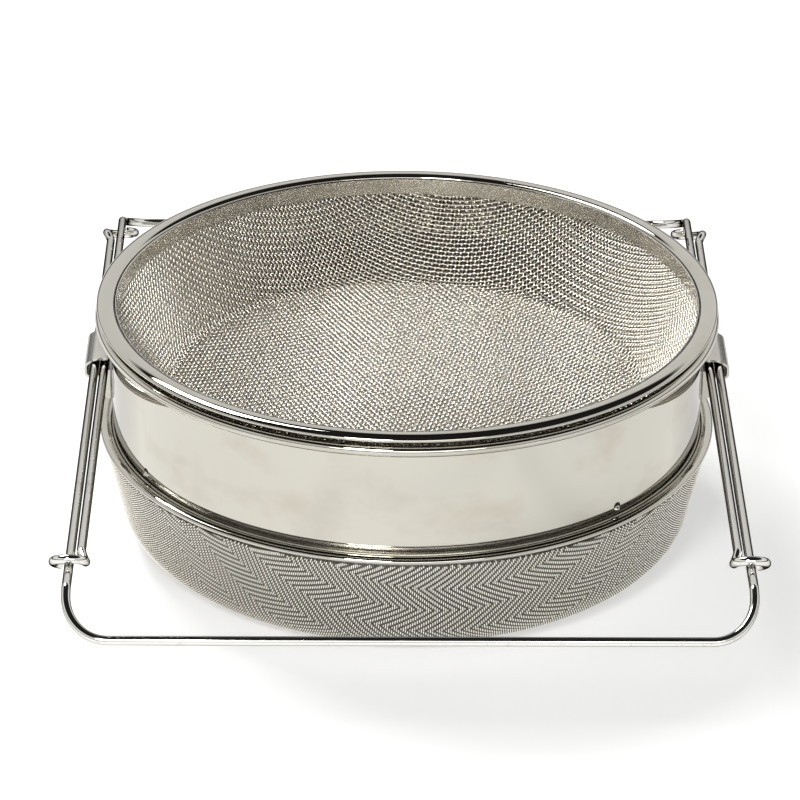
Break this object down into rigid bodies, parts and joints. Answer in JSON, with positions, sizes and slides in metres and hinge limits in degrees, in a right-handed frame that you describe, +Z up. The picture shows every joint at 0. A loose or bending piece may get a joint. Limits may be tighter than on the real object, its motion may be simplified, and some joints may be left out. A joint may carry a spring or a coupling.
{
  "type": "double sieve strainer",
  "caption": "Round honey strainer: a coarse mesh sieve stacked on a fine mesh sieve in a steel band, carried on two sliding U-shaped wire bails.",
  "frame": {"origin": "middle of the lower sieve's flat floor, on the surface that the strainer stands on", "axes": "+Z up along the sieves' common axis, +Y from the front bail's crossbar to the rear bail's, +X to the right bracket"},
  "size_m": [0.2568, 0.3519, 0.0984],
  "materials": {
    "polished_steel": "mirror polished stainless sheet",
    "satin_steel": "plain rolled stainless sheet, slightly dull",
    "coarse_cloth": "coarse plain-weave stainless wire cloth",
    "fine_cloth": "fine herringbone-twill stainless wire cloth",
    "bright_wire": "bright drawn stainless wire"
  },
  "bodies": {
    "lower_sieve": {"lower_rim": "polished_steel", "lower_collar": "satin_steel", "lower_mesh": "fine_cloth"},
    "holder": {"band": "polished_steel", "bracket_left": "satin_steel", "bracket_right": "satin_steel", "bracket_foot_left": "satin_steel", "bracket_foot_right": "satin_steel"},
    "upper_sieve": {"upper_rim": "polished_steel", "upper_collar": "satin_steel", "upper_mesh": "coarse_cloth"},
    "front_bail": {"frame_front": "bright_wire"},
    "rear_bail": {"frame_rear": "bright_wire"}
  },
  "joints": [
    {"name": "holder_lift", "type": "slide", "parent": "lower_sieve", "child": "holder", "axis": [0, 0, 1], "range_m": [0, 0.06]},
    {"name": "upper_sieve_lift", "type": "slide", "parent": "holder", "child": "upper_sieve", "axis": [0, 0, 1], "range_m": [0, 0.06]},
    {"name": "front_bail_slide", "type": "slide", "parent": "holder", "child": "front_bail", "axis": [0, -1, 0], "range_m": [0, 0.074]},
    {"name": "rear_bail_slide", "type": "slide", "parent": "holder", "child": "rear_bail", "axis": [0, 1, 0], "range_m": [0, 0.13]}
  ]
}
